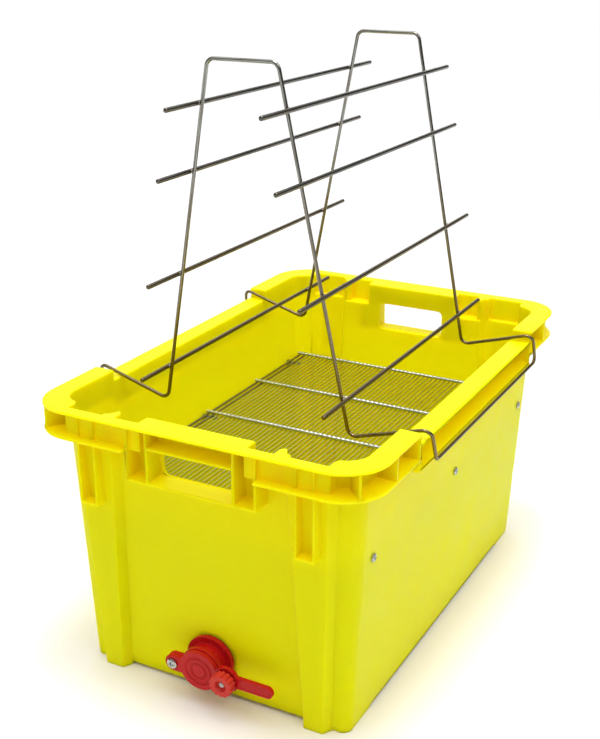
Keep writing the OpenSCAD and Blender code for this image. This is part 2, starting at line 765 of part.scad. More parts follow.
tub();
support_screws();
support_nuts();
strainer_wires();
edge_rod(-edge_x);  // edge_rod_left_outer
edge_rod(edge_gap - edge_x);  // edge_rod_left_inner
edge_rod(edge_x - edge_gap);  // edge_rod_right_inner
edge_rod(edge_x);  // edge_rod_right_outer
for (place = [1 : bar_count]) cross_bar(place);
stand_arch_front();
stand_arch_back();
stand_side_bar();
for (place = [1 : 4]) comb_rod(-1, place);
for (place = [1 : 4]) comb_rod(1, place);
gate_body();
gate_gasket();
gate_lock_nut();
gate_seal();
gate_blade();
pivot_screw();
pivot_nut();
clamp_bolt();
clamp_washer();
clamp_knob();
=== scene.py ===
import math

import bmesh
import bpy
import numpy as np
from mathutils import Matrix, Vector


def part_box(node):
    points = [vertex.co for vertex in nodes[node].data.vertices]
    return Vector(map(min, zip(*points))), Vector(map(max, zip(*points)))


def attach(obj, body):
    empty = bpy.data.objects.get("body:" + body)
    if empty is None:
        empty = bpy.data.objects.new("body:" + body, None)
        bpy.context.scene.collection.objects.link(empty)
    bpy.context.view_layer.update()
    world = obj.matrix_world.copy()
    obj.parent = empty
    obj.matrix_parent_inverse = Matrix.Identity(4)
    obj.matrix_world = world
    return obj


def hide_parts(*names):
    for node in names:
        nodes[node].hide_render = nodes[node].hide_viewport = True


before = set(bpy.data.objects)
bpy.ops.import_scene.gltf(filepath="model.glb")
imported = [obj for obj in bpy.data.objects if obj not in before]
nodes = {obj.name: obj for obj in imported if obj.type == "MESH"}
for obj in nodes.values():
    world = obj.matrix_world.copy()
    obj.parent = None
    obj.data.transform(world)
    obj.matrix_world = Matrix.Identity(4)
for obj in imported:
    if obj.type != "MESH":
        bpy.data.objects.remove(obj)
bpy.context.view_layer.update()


# TUB
# A stacking crate, injection moulded in one piece from lemon-yellow polyethylene. The mould was
# lightly blasted, so the skin is satin with a fine grain and faint flow marks, and each edge is
# rounded. Inward faces below the strainer carry a darker painted shade for the strainer's shadow,
# and corners and recesses carry a warmer, deeper painted shade.

tub_edge_radius, tub_shortest_edge = 0.001, 0.003
round_angle, crease_angle = math.radians(32), math.radians(50)
join_distance = 2e-6
lemon = (0.955, 0.815, 0.002, 1)
lemon_flow = (0.94, 0.78, 0.002, 1)
lemon_scuff = (0.93, 0.87, 0.08, 1)
# Painted shade: the darker lemon that inward faces below the strainer take, as the strainer's
# shadow.
lemon_strainer_shade = (0.55, 0.555, 0.002, 1)
# Painted shade: the warmer, deeper lemon laid into corners and recesses.
lemon_corner_shade = (0.96, 0.65, 0.001, 1)
lemon_roughness, lemon_grain_depth, lemon_shine = 0.36, 0.00005, 0.06
glow_reach, glow_by_colour = 0.016, (1.0, 0.72, 0.05)
# Painted shade below the strainer: the point its faces look towards, the level below which it is
# full, and its fade.
strainer_shade_middle, strainer_shade_level, strainer_shade_fade = (0, 0, 0.15), 0.205, 0.010
corner_reach, corner_deep, corner_open, corner_share = 0.03, 0.35, 0.85, 0.7


def fitted(piece, body, replaced):
    """A piece put into the scene, on its body and the nodes it stands for."""
    bpy.context.scene.collection.objects.link(piece)
    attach(piece, body)
    if replaced:
        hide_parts(*replaced)


def moulded_piece(node, finish, body, radius, shortest):
    """Surface of a CAD node with its loose triangles joined at their corners. Each edge between
    faces that meet at more than the round angle becomes a round of the radius, unless the edge
    is shorter than shortest."""
    surface = bmesh.new()
    surface.from_mesh(nodes[node].data)
    bmesh.ops.remove_doubles(surface, verts=surface.verts, dist=join_distance)
    edges = [edge for edge in surface.edges
             if edge.calc_length() > shortest and edge.calc_face_angle(0) > round_angle]
    bmesh.ops.bevel(surface, geom=edges, offset=radius, offset_type="OFFSET", segments=2,
                    profile=0.5, affect="EDGES", clamp_overlap=False)
    mesh = bpy.data.meshes.new(node + "_moulding")
    surface.to_mesh(mesh)
    surface.free()
    if "custom_normal" in mesh.attributes:
        mesh.attributes.remove(mesh.attributes["custom_normal"])
    mesh.polygons.foreach_set("use_smooth", np.ones(len(mesh.polygons), bool))
    mesh.set_sharp_from_angle(angle=crease_angle)
    mesh.materials.clear()
    mesh.materials.append(finish)
    piece = bpy.data.objects.new(node + "_moulding", mesh)
    flatten = piece.modifiers.new("flat_faces", "WEIGHTED_NORMAL")
    flatten.keep_sharp = True
    flatten.weight = 100
    fitted(piece, body, [node])


def shader_group(name, places, values):
    """An empty shader group that takes places and puts out values, and its two ends."""
    group = bpy.data.node_groups.new(name, "ShaderNodeTree")
    for socket in places:
        group.interface.new_socket(name=socket, in_out="INPUT", socket_type="NodeSocketVector")
    for socket in values:
        group.interface.new_socket(name=socket, in_out="OUTPUT", socket_type="NodeSocketFloat")
    return group, group.nodes.new("NodeGroupInput"), group.nodes.new("NodeGroupOutput")


def noise(tree, place, scale, detail, roughness=0.5):
    """Fractal noise around 0.5 at a place, with its coarsest grain 1 / scale wide."""
    texture = tree.nodes.new("ShaderNodeTexNoise")
    tree.links.new(place, texture.inputs["Vector"])
    texture.inputs["Scale"].default_value = scale
    texture.inputs["Detail"].default_value = detail
    texture.inputs["Roughness"].default_value = roughness
    return texture.outputs["Fac"]


def ramp(tree, value, low, high, to_low=0.0, to_high=1.0):
    """Straight line from to_low at low to to_high at high, held level outside."""
    step = tree.nodes.new("ShaderNodeMapRange")
    tree.links.new(value, step.inputs["Value"])
    for socket, number in (("From Min", low), ("From Max", high),
                           ("To Min", to_low), ("To Max", to_high)):
        step.inputs[socket].default_value = number
    return step.outputs["Result"]


def stretched(tree, place, factors):
    """A place multiplied along each axis, which draws a pattern out along the smallest factor."""
    product = tree.nodes.new("ShaderNodeVectorMath")
    product.operation = "MULTIPLY"
    tree.links.new(place, product.inputs[0])
    product.inputs[1].default_value = factors
    return product.outputs["Vector"]


def height_of(tree, place):
    """The Z of a place."""
    split = tree.nodes.new("ShaderNodeSeparateXYZ")
    tree.links.new(place, split.inputs["Vector"])
    return split.outputs["Z"]


def combined(tree, operation, first, second):
    """Arithmetic on two values; a plain number stays on the socket."""
    step = tree.nodes.new("ShaderNodeMath")
    step.operation = operation
    for socket, value in zip(step.inputs, (first, second)):
        if isinstance(value, (int, float)):
            socket.default_value = value
        else:
            tree.links.new(value, socket)
    return step.outputs["Value"]


def blended(tree, share, first, second):
    """Colour that goes from the first to the second as the share goes from 0 to 1."""
    mix = tree.nodes.new("ShaderNodeMix")
    mix.data_type = "RGBA"
    tree.links.new(share, mix.inputs["Factor"])
    for socket, colour in ((mix.inputs[6], first), (mix.inputs[7], second)):
        if isinstance(colour, tuple):
            socket.default_value = colour
        else:
            tree.links.new(colour, socket)
    return mix.outputs[2]


skin, skin_in, skin_out = shader_group(
    "moulded_skin", ["Place"], ["Flow", "Scuff", "Grain", "Sheen"])
skin_place = skin_in.outputs["Place"]
flow_stretch, upright_stretch, level_stretch = (5, 5, 1.6), (260, 260, 22), (18, 18, 300)
patch_scale, fine_scale, coarse_scale, sheen_scale = 9, 1500, 240, 34
flow_noise = noise(skin, stretched(skin, skin_place, flow_stretch), 1.0, 4, 0.55)
upright_noise = noise(skin, stretched(skin, skin_place, upright_stretch), 1.0, 2)
level_noise = noise(skin, stretched(skin, skin_place, level_stretch), 1.0, 2)
scratches = combined(skin, "MAXIMUM", ramp(skin, upright_noise, 0.655, 0.72),
                     ramp(skin, level_noise, 0.66, 0.72))
scratch_patches = ramp(skin, noise(skin, skin_place, patch_scale, 2), 0.5, 0.66)
fine_grain = noise(skin, skin_place, fine_scale, 2)
coarse_grain = combined(skin, "MULTIPLY", noise(skin, skin_place, coarse_scale, 3), 0.5)
skin.links.new(ramp(skin, flow_noise, 0.3, 0.72), skin_out.inputs["Flow"])
skin.links.new(combined(skin, "MULTIPLY", scratches, scratch_patches), skin_out.inputs["Scuff"])
skin.links.new(combined(skin, "ADD", fine_grain, coarse_grain), skin_out.inputs["Grain"])
skin.links.new(noise(skin, skin_place, sheen_scale, 4), skin_out.inputs["Sheen"])


def new_finish(name):
    """A material with its Principled shader and its Object coordinates."""
    material = bpy.data.materials.new(name)
    material.use_nodes = True
    tree = material.node_tree
    place = tree.nodes.new("ShaderNodeTexCoord").outputs["Object"]
    return material, tree, tree.nodes["Principled BSDF"], place


def relief(tree, shader, height, depth, strength):
    """Small surface relief: height times depth, in metres, bends the shading normal."""
    bump = tree.nodes.new("ShaderNodeBump")
    bump.inputs["Distance"].default_value = depth
    bump.inputs["Strength"].default_value = strength
    tree.links.new(height, bump.inputs["Height"])
    tree.links.new(bump.outputs["Normal"], shader.inputs["Normal"])


def placed(tree, group, place):
    """A shader group in a material, reading a place."""
    instance = tree.nodes.new("ShaderNodeGroup")
    instance.node_tree = group
    tree.links.new(place, instance.inputs["Place"])
    return instance.outputs


def moulded_plastic(name, colour, flow_colour, scuff_colour, roughness, grain_depth, shine=0.5):
    """Moulded plastic: flow marks and scuffs tint it, and its roughness wavers round a value."""
    scuff_tint, scuff_dulling = 0.15, 0.12
    material, tree, shader, place = new_finish(name)
    effect = placed(tree, skin, place)
    tint = blended(tree, effect["Flow"], colour, flow_colour)
    scuff_share = combined(tree, "MULTIPLY", effect["Scuff"], scuff_tint)
    tree.links.new(blended(tree, scuff_share, tint, scuff_colour), shader.inputs["Base Color"])
    sheen = ramp(tree, effect["Sheen"], 0.3, 0.7, roughness - 0.05, roughness + 0.07)
    dull = combined(tree, "MULTIPLY", effect["Scuff"], scuff_dulling)
    tree.links.new(combined(tree, "ADD", sheen, dull), shader.inputs["Roughness"])
    shader.inputs["Specular IOR Level"].default_value = shine
    relief(tree, shader, effect["Grain"], grain_depth, strength=0.5)
    return material


def overlaid(material, share, colour):
    """A finish whose colour so far goes over to another as the share goes from 0 to 1."""
    tree = material.node_tree
    base = tree.nodes["Principled BSDF"].inputs["Base Color"]
    tree.links.new(blended(tree, share, base.links[0].from_socket, colour), base)


def strainer_shade_share(tree, place):
    """Share of painted shade from the strainer: 1 on faces that look towards the middle of the tub
    and lie under the shade level, below which it fades in."""
    inward = tree.nodes.new("ShaderNodeVectorMath")
    inward.operation = "SUBTRACT"
    inward.inputs[0].default_value = strainer_shade_middle
    tree.links.new(place, inward.inputs[1])
    facing = tree.nodes.new("ShaderNodeVectorMath")
    facing.operation = "DOT_PRODUCT"
    tree.links.new(inward.outputs["Vector"], facing.inputs[0])
    tree.links.new(tree.nodes.new("ShaderNodeNewGeometry").outputs["Normal"], facing.inputs[1])
    under = ramp(tree, height_of(tree, place), strainer_shade_level - strainer_shade_fade, strainer_shade_level, 1, 0)
    looks_in = combined(tree, "GREATER_THAN", facing.outputs["Value"], 0)
    return combined(tree, "MULTIPLY", under, looks_in)


def painted_corner_shade(tree):
    """Share of painted shade in corners and recesses: it grows as more of the tub stands within
    reach of the skin.
    """
    corners = tree.nodes.new("ShaderNodeAmbientOcclusion")
    corners.only_local = True
    corners.samples = 8
    corners.inputs["Distance"].default_value = corner_reach
    return ramp(tree, corners.outputs["AO"], corner_deep, corner_open, corner_share, 0)


lemon_plastic = moulded_plastic("lemon_plastic", lemon, lemon_flow, lemon_scuff, lemon_roughness,
                                lemon_grain_depth, lemon_shine)
lemon_tree = lemon_plastic.node_tree
lemon_place = lemon_tree.nodes["Texture Coordinate"].outputs["Object"]
lemon_shader = lemon_tree.nodes["Principled BSDF"]
lemon_shader.inputs["Subsurface Weight"].default_value = 1
lemon_shader.inputs["Subsurface Radius"].default_value = glow_by_colour
lemon_shader.inputs["Subsurface Scale"].default_value = glow_reach
# Painted shade: inward faces under the strainer go darker, standing in for its shadow.
overlaid(lemon_plastic, strainer_shade_share(lemon_tree, lemon_place), lemon_strainer_shade)
# Painted shade: corners and recesses that ambient occlusion finds turn a warmer, deeper lemon.
overlaid(lemon_plastic, painted_corner_shade(lemon_tree), lemon_corner_shade)
moulded_piece("tub", lemon_plastic, "base", tub_edge_radius, tub_shortest_edge)


# SUPPORT SCREWS
# Six zinc-plated pan-head machine screws, 5 mm, with rolled threads and a cross recess. They pass
# through the long walls, and a hexagon nut inside holds each one; the strainer lies on them.

draft = math.radians(2.85)
lean = math.tan(draft)
tub_height, side_wall_top, wall_thickness, seat_gap = 0.32, 0.1785, 0.003, 0.00002
screw_height, screw_spacing = 0.199, 0.225976
screw_wall_x = side_wall_top - (tub_height - screw_height) * lean
screw_radius, screw_length, screw_pitch = 0.0025, 0.024, 0.0008
screw_head_radius, screw_head_height = 0.00475, 0.003
nut_flats, nut_height = 0.008, 0.004
nut_place = wall_thickness * math.cos(draft) + seat_gap
piece_crease = math.radians(40)
zinc = (0.52, 0.54, 0.55, 1)
zinc_dull = (0.34, 0.35, 0.35, 1)
zinc_roughness = 0.2


def ring_grid(rings):
    """Quads between closed rings of points, ring after ring, and the two end rings as closing
    faces."""
    count, around = rings.shape[:2]
    corner = np.arange(count * around).reshape(count, around)
    ahead = np.roll(corner, -1, axis=1)
    quads = np.stack([corner[:-1], ahead[:-1], ahead[1:], corner[1:]], axis=-1).reshape(-1, 4)
    return rings.reshape(-1, 3), quads.tolist() + [corner[0, ::-1].tolist(), corner[-1].tolist()]


def mesh_piece(piece_name, grids, finish, body, replaced):
    """One piece from (points, faces) grids, with smooth faces and its sharper edges kept."""
    points = np.concatenate([grid[0] for grid in grids])
    starts = np.cumsum([0] + [len(grid[0]) for grid in grids[:-1]])
    faces = [[int(start) + corner for corner in face]
             for start, grid in zip(starts, grids) for face in grid[1]]
    mesh = bpy.data.meshes.new(piece_name)
    mesh.from_pydata(points, [], faces)
    mesh.polygons.foreach_set("use_smooth", np.ones(len(mesh.polygons), bool))
    mesh.set_sharp_from_angle(angle=piece_crease)
    mesh.materials.append(finish)
    piece = bpy.data.objects.new(piece_name, mesh)
    fitted(piece, body, replaced)
    return piece


def round_angles(count):
    """Angles of a ring's points, as one row."""
    return np.linspace(0, 2 * np.pi, count, endpoint=False)[None, :]


def turned(radius, height, angle):
    """Surface of revolution: (radius cos a, radius sin a, height), where radius and height may
    vary with a."""
    radius, height, angle = np.broadcast_arrays(radius, height, angle)
    return np.stack([radius * np.cos(angle), radius * np.sin(angle), height], axis=-1)


def rolled_thread(angle, height, pitch):
    """Thread profile from 0 in the root to 1 on the crest: a flattened triangle wave that climbs
    a pitch a turn."""
    phase = (height / pitch - angle / (2 * np.pi)) % 1
    return np.clip(1.35 - 2.7 * np.abs(phase - 0.5), 0.15, 1)


def pan_screw(radius, length, head_radius, head_height, pitch):
    """Pan-head screw on its own axis: the head is a flattened dome with a cross sunk into it,
    and below the seat the shank's radius follows a rolled thread."""
    under_head, thread_depth, arm_length, arm_width = 0.0002, 0.11 * radius, 0.5, 0.15
    angle = round_angles(48)
    fall = np.linspace(-length, -under_head, 150)[:, None]
    taper = np.clip((fall + length) / (1.2 * pitch), 0.72, 1)
    root = thread_depth * (1 - rolled_thread(angle, fall, pitch))
    shank = turned(taper * (radius - root), fall, angle)
    share = np.linspace(0.999, 0.02, 44)[:, None]
    dome = head_height * (1 - 0.72 * share ** 3.2) ** 0.5
    across, along = np.abs(share * np.cos(angle)), np.abs(share * np.sin(angle))
    arm = np.minimum(np.maximum(across / arm_length, along / arm_width),
                     np.maximum(along / arm_length, across / arm_width))
    sunk = 0.62 * head_height * np.clip((1.12 - arm) / 0.3, 0, 1) * (1 - 0.6 * share)
    head = turned(head_radius * share, dome - sunk, angle)
    seat = turned(np.array([[0.985], [1.0], [1.0]]) * head_radius,
                  np.array([[0.0], [under_head], [0.35 * head_height]]), angle)
    return ring_grid(np.concatenate([shank, seat, head]))


def hexagon(flats, angle):
    """Hexagon bar: the distance to its side at each angle, the radius of the washer face turned
    on its end, and how deep a 30 degree cone cuts its corners outside that face."""
    corner = flats / 2 / np.cos((angle % (np.pi / 3)) - np.pi / 6)
    washer_face = 0.95 * flats / 2
    return corner, washer_face, (corner - washer_face) * math.tan(math.radians(30))


def hexagon_nut(flats, height, bore, first):
    """Hexagon nut from a height up: its bore is countersunk and both faces are cut by a cone."""
    sink = 0.0004
    angle = round_angles(72)
    corner, washer_face, cut = hexagon(flats, angle)
    rings = [(bore, first), (bore + sink, first), (washer_face, first), (corner, first + cut),
             (corner, first + height - cut), (washer_face, first + height),
             (bore + sink, first + height), (bore, first + height - sink), (bore, first)]
    return ring_grid(np.concatenate([turned(r, z, angle) for r, z in rings]))


def set_on(grid, base, axis_x, axis_y, axis_z):
    """A grid moved from its own axis to a place: base plus each coordinate along one of three
    square axes."""
    points, faces = grid
    return points @ np.array([axis_x, axis_y, axis_z]) + np.array(base), faces


plating, plating_in, plating_out = shader_group("plated_steel", ["Place"], ["Bloom", "Pits"])
plating_place = plating_in.outputs["Place"]
bloom_scale, pit_scale = 420, 2600
bloom_noise = noise(plating, plating_place, bloom_scale, 4)
plating.links.new(ramp(plating, bloom_noise, 0.4, 0.68), plating_out.inputs["Bloom"])
plating.links.new(noise(plating, plating_place, pit_scale, 3), plating_out.inputs["Pits"])


def plated_steel(name, colour, dull_colour, roughness):
    """Plated steel: dull blooms in the plating tint it and roughen it, over very fine pits."""
    bloom_dulling = 0.16
    material, tree, shader, place = new_finish(name)
    effect = placed(tree, plating, place)
    tree.links.new(blended(tree, effect["Bloom"], colour, dull_colour),
                   shader.inputs["Base Color"])
    tree.links.new(ramp(tree, effect["Bloom"], 0, 1, roughness, roughness + bloom_dulling),
                   shader.inputs["Roughness"])
    shader.inputs["Metallic"].default_value = 1
    relief(tree, shader, effect["Pits"], depth=0.00002, strength=0.4)
    return material


zinc_plate = plated_steel("zinc_plate", zinc, zinc_dull, zinc_roughness)
screw_shape = pan_screw(screw_radius, screw_length, screw_head_radius, screw_head_height,
                        screw_pitch)
nut_shape = hexagon_nut(nut_flats, nut_height, screw_radius + seat_gap, -nut_place - nut_height)
screw_axes = [
    ((side * screw_wall_x, step * screw_spacing, screw_height), (0, side, 0),
     (side * math.sin(draft), 0, math.cos(draft)), (side * math.cos(draft), 0, -math.sin(draft)))
    for side in (1, -1) for step in (-1, 0, 1)]
mesh_piece("wall_screws", [set_on(screw_shape, *axes) for axes in screw_axes], zinc_plate,
           "base", ["support_screws"])
mesh_piece("wall_nuts", [set_on(nut_shape, *axes) for axes in screw_axes], zinc_plate,
           "base", ["support_nuts"])


# STRAINER
# Forty-nine straight 2 mm stainless wires lie side by side, held by two thicker rods along each
# long edge. Five bright bars cross on top and are pressed onto every wire, which leaves a bead
# between each pair of wires.

wire_gap = 0.0062
# Steel colours with a painted yellow reflection of the tub mixed in; the edge rods are darker than
# the wires.
wire_steel_and_yellow_reflection = (0.54, 0.545, 0.11, 1)
wire_dark_steel_and_yellow_reflection = (0.44, 0.44, 0.06, 1)
wire_blotch_and_yellow_reflection = (0.47, 0.475, 0.20, 1)
edge_steel_and_yellow_reflection = (0.30, 0.28, 0.12, 1)
edge_dark_steel_and_yellow_reflection = (0.17, 0.155, 0.05, 1)
edge_blotch_and_yellow_reflection = (0.34, 0.31, 0.18, 1)
bar_steel = (0.50, 0.53, 0.51, 1)
bar_steel_dark = (0.38, 0.40, 0.38, 1)
bar_tint = (0.66, 0.68, 0.65, 1)
wire_roughness, edge_roughness, bar_roughness = 0.4, 0.3, 0.36
wire_sides, edge_sides, bar_sides = 12, 18, 16


def swept(path, radius, around):
    """Round wire: at each point of a path, a circle of that point's radius square to the path.
    The circle starts from a fixed slanting direction, so the frame turns smoothly.
    Also gives each point's place round the wire, folded to stay even at the seam, and along it."""
    ahead = np.gradient(path, axis=0)
    ahead /= np.linalg.norm(ahead, axis=1, keepdims=True)
    slant = np.array([0.6, 0.55, 0.58])
    first = slant - (ahead @ slant)[:, None] * ahead
    first /= np.linalg.norm(first, axis=1, keepdims=True)
    second = np.cross(ahead, first)
    angle = round_angles(around)[0]
    circle = (np.cos(angle)[None, :, None] * first[:, None]
              + np.sin(angle)[None, :, None] * second[:, None])
    rings = path[:, None] + radius[:, None, None] * circle
    steps = np.linalg.norm(np.diff(path, axis=0), axis=1)
    along = np.concatenate([[0], np.cumsum(steps)])
    folded = np.abs(angle / np.pi - 1)
    drawn = np.stack(np.broadcast_arrays(folded[None, :], along[:, None], 0.0), axis=-1)
    return ring_grid(rings), drawn.reshape(-1, 3)


def cut_ends(length, radius, burr):
    """Stations and radii along a straight wire whose sheared ends are slightly rounded over a
    burr's length."""
    share = np.array([0, 0.25, 0.6, 1.0]) * burr
    inner = np.linspace(burr, length - burr, 12)[1:-1]
    place = np.concatenate([share, inner, length - share[::-1]])
    shy = np.array([0.72, 0.88, 0.97, 1.0])
    return place, radius * np.concatenate([shy, np.ones(len(inner)), shy[::-1]])


def straight_wire(start, end, radius, around):
    """Straight round wire from start to end."""
    start, end = np.array(start), np.array(end)
    length = np.linalg.norm(end - start)
    place, radii = cut_ends(length, radius, 0.5 * radius)
    return swept(start + place[:, None] * (end - start) / length, radii, around)


def wire_piece(piece_name, wires, finish, body, replaced):
    """One piece from swept wires, which keeps each point's place round and along its wire."""
    grids, drawn = zip(*wires)
    piece = mesh_piece(piece_name, grids, finish, body, replaced)
    layer = piece.data.attributes.new("drawn", "FLOAT_VECTOR", "POINT")
    layer.data.foreach_set("vector", np.concatenate(drawn).astype(np.float32).ravel())


def node_axis(node, axis):
    """Both ends of a straight rod's middle line, and its radius, from the box of its node."""
    low, high = np.array(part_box(node))
    start, end = (low + high) / 2, (low + high) / 2
    start[axis], end[axis] = low[axis], high[axis]
    return start, end, (high - low)[(axis + 1) % 3] / 2


drawing, drawing_in, drawing_out = shader_group(
    "drawn_wire", ["Place", "Round"], ["Streak", "Blotch", "Lines"])
drawn_round = drawing_in.outputs["Round"]
streak_stretch, line_stretch, blotch_scale = (7, 14, 1), (46, 60, 1), 55
streak_noise = noise(drawing, stretched(drawing, drawn_round, streak_stretch), 1.0, 4)
blotch_noise = noise(drawing, drawing_in.outputs["Place"], blotch_scale, 4)
line_noise = noise(drawing, stretched(drawing, drawn_round, line_stretch), 1.0, 3)
drawing.links.new(ramp(drawing, streak_noise, 0.38, 0.66), drawing_out.inputs["Streak"])
drawing.links.new(ramp(drawing, blotch_noise, 0.42, 0.68), drawing_out.inputs["Blotch"])
drawing.links.new(line_noise, drawing_out.inputs["Lines"])


def drawn_wire(name, colour, dark_colour, roughness, tint_colour):
    """Drawn wire: long streaks from the die run along it, and blotches from handling and heat
    tint it."""
    blotch_tint, streak_dulling = 0.45, 0.14
    material, tree, shader, place = new_finish(name)
    own_place = tree.nodes.new("ShaderNodeAttribute")
    own_place.attribute_name = "drawn"
    effect = placed(tree, drawing, place)
    tree.links.new(own_place.outputs["Vector"], effect["Streak"].node.inputs["Round"])
    streaked = blended(tree, effect["Streak"], colour, dark_colour)
    blotch_share = combined(tree, "MULTIPLY", effect["Blotch"], blotch_tint)
    tree.links.new(blended(tree, blotch_share, streaked, tint_colour),
                   shader.inputs["Base Color"])
    tree.links.new(ramp(tree, effect["Streak"], 0, 1, roughness, roughness + streak_dulling),
                   shader.inputs["Roughness"])
    shader.inputs["Metallic"].default_value = 1
    relief(tree, shader, effect["Lines"], depth=0.00003, strength=0.5)
    return material


# Strainer wires and edge rods: steel with a painted yellow reflection of the tub.
strainer_steel = drawn_wire("strainer_wire", wire_steel_and_yellow_reflection, wire_dark_steel_and_yellow_reflection, wire_roughness,
                            wire_blotch_and_yellow_reflection)
edge_rod_steel = drawn_wire("edge_rod", edge_steel_and_yellow_reflection, edge_dark_steel_and_yellow_reflection, edge_roughness, edge_blotch_and_yellow_reflection)
bright_steel = drawn_wire("bright_bar", bar_steel, bar_steel_dark, bar_roughness, bar_tint)

mesh_low, mesh_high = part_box("strainer_wires")
mesh_radius = (mesh_high[2] - mesh_low[2]) / 2
mesh_height = mesh_low[2] + mesh_radius
mesh_wires = [
    straight_wire((x, mesh_low[1], mesh_height), (x, mesh_high[1], mesh_height), mesh_radius,
                  wire_sides)
    for x in np.arange(mesh_low[0] + mesh_radius, mesh_high[0], wire_gap)]
wire_piece("strainer_mesh", mesh_wires, strainer_steel, "strainer",
           ["strainer_wires"])

edge_nodes = ["edge_rod_left_outer", "edge_rod_left_inner",
              "edge_rod_right_inner", "edge_rod_right_outer"]
edge_rods = [straight_wire(*node_axis(node, 1), edge_sides) for node in edge_nodes]
wire_piece("strainer_edge_rods", edge_rods, edge_rod_steel, "strainer",
           edge_nodes)


def beaded_bar(start, end, radius, pitch, around):
    """Bar with beads: its radius dips by a fifth over each wire, as a rounded cosine of the place
    across."""
    dip, end_share = 0.2, 0.75
    across = np.linspace(start[0], end[0], 10 * int((end[0] - start[0]) / pitch))
    waist = (0.5 + 0.5 * np.cos(2 * np.pi * across / pitch)) ** 2
    near_end = np.minimum(across - start[0], end[0] - across) / (0.5 * radius)
    rounding = np.clip(end_share + (1 - end_share) * near_end, end_share, 1)
    path = np.stack(np.broadcast_arrays(across, start[1], start[2]), axis=-1)
    return swept(path, radius * (1 - dip * waist) * rounding, around)


bar_nodes = [f"cross_bar_{number}" for number in (1, 2, 3, 4, 5)]
beaded_bars = [beaded_bar(*node_axis(node, 0), wire_gap, bar_sides) for node in bar_nodes]
wire_piece("strainer_bars", beaded_bars, bright_steel, "strainer", bar_nodes)


# DRAIN GATE
# A swing-blade honey gate moulded in glossy red plastic. Its threaded spout passes through the
# front wall, with a red rubber gasket under the flange outside and an octagonal lock nut inside.
# The blade turns on a plated screw, and a fluted knob on a bolt clamps it.

gate_height, end_wall_top = 0.047, 0.2715
gate_wall_y = end_wall_top - (tub_height - gate_height) * lean
gate_axes = ((1, 0, 0), (0, -math.sin(draft), math.cos(draft)),
             (0, -math.cos(draft), -math.sin(draft)))
gate_edge_radius = 0.0006
gate_red = (0.55, 0.006, 0.008, 1)
gate_red_flow = (0.44, 0.006, 0.008, 1)
gate_red_scuff = (0.52, 0.10, 0.09, 1)
knob_red = (0.68, 0.042, 0.032, 1)
knob_red_flow = (0.54, 0.026, 0.018, 1)
red_rubber = (0.26, 0.012, 0.010, 1)
red_rubber_worn = (0.30, 0.03, 0.025, 1)
red_shine = 0.2

red_plastic = moulded_plastic("gate_plastic", gate_red, gate_red_flow, gate_red_scuff,
                              roughness=0.2, grain_depth=0.00002, shine=red_shine)
knob_plastic = moulded_plastic("knob_plastic", knob_red, knob_red_flow, gate_red_scuff,
                               roughness=0.32, grain_depth=0.00003, shine=red_shine)
rubber = moulded_plastic("gate_rubber", red_rubber, red_rubber_worn, red_rubber_worn,
                         roughness=0.6, grain_depth=0.00004)
for moulding, body in (("gate_body", "base"), ("gate_lock_nut", "base"), ("gate_blade", "blade")):
    moulded_piece(moulding, red_plastic, body, gate_edge_radius, 0)


def rounded_ring(inner, outer, low, high, corner, around):
    """Flat ring: a rectangle with rounded corners, as a superellipse-like section, carried round
    the axis."""
    section, fill = 24, 1.6
    turn = np.linspace(0, 2 * np.pi, section + 1)[:, None]
    half_width, half_height = (outer - inner) / 2, (high - low) / 2
    across = np.clip(fill * np.cos(turn), -1, 1) * (half_width - corner) + corner * np.cos(turn)
    rise = np.clip(fill * np.sin(turn), -1, 1) * (half_height - corner) + corner * np.sin(turn)
    rings = turned((inner + outer) / 2 + across, (low + high) / 2 + rise, round_angles(around))
    points, faces = ring_grid(rings[:-1])
    index = np.arange(section * around).reshape(section, around)
    last, first = index[-1], index[0]
    join = np.stack([last, np.roll(last, -1), np.roll(first, -1), first], axis=-1)
    return points, faces[:-2] + join.tolist()


def at_gate(grid, across, seat=0.0):
    """A grid moved onto the gate's own frame, to a place across it and a seat out from the wall."""
    points, faces = grid
    return set_on((points + np.array([0, 0, seat]), faces), (across, -gate_wall_y, gate_height),
                  *gate_axes)


gasket_shape = rounded_ring(inner=0.02155, outer=0.0275, low=0.00002, high=0.002,
                            corner=0.0006, around=96)
mesh_piece("gate_gasket_ring", [at_gate(gasket_shape, 0)], rubber, "base",
           ["gate_gasket"])
seal_shape = rounded_ring(inner=0.01995, outer=0.02155, low=0.02242, high=0.02415,
                          corner=0.0005, around=96)
mesh_piece("gate_seal_ring", [at_gate(seal_shape, 0)], rubber, "base", ["gate_seal"])

pivot_across, pivot_seat, clamp_across = -0.033, 0.0296, 0.034
pivot_shape = pan_screw(screw_radius, length=0.0156, head_radius=0.006, head_height=0.003,
                        pitch=screw_pitch)
mesh_piece("blade_pivot_screw", [at_gate(pivot_shape, pivot_across, pivot_seat)], zinc_plate,
           "base", ["pivot_screw"])
pivot_nut_shape = hexagon_nut(nut_flats, nut_height, screw_radius + seat_gap, first=0.01498)
mesh_piece("blade_pivot_nut", [at_gate(pivot_nut_shape, pivot_across)], zinc_plate,
           "base", ["pivot_nut"])


